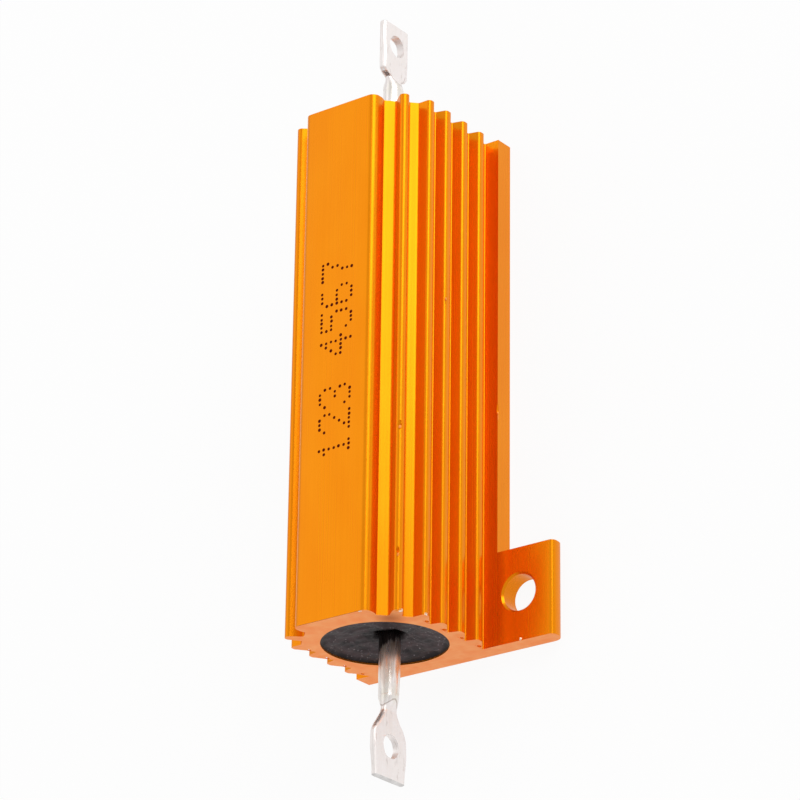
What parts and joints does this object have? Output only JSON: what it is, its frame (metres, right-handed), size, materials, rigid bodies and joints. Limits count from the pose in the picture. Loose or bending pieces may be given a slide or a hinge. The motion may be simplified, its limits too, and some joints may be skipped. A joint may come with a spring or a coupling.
{
  "type": "aluminium housed power resistor",
  "caption": "Wirewound resistor in a finned aluminium housing with two diagonal mounting tabs and a solder lug at each end.",
  "frame": {"origin": "middle of the mounting face, under the middle of the body", "axes": "+X along the extrusion and the terminals, +Y across the two tabs, +Z from the mounting face to the flat top; one tab is at the -X end on the -Y side, the other at the +X end on the +Y side"},
  "size_m": [0.0742, 0.0276, 0.016],
  "materials": {
    "anodised_aluminium": "bright orange-gold anodised, sawn ends paler",
    "moulding_compound": "black with fine pale grains, slight sheen",
    "ceramic": "unglazed white ceramic",
    "resistance_wire": "drawn nickel alloy wire",
    "end_cap_steel": "nickel plated pressed steel",
    "tinned_terminal": "bright tin plate, slightly uneven"
  },
  "bodies": {
    "root": {"housing": "anodised_aluminium", "moulding_compound": "moulding_compound", "ceramic_core": "ceramic", "resistance_winding": "resistance_wire", "end_cap_1": "end_cap_steel", "end_cap_2": "end_cap_steel", "terminal_1": "tinned_terminal", "terminal_2": "tinned_terminal"}
  },
  "joints": []
}
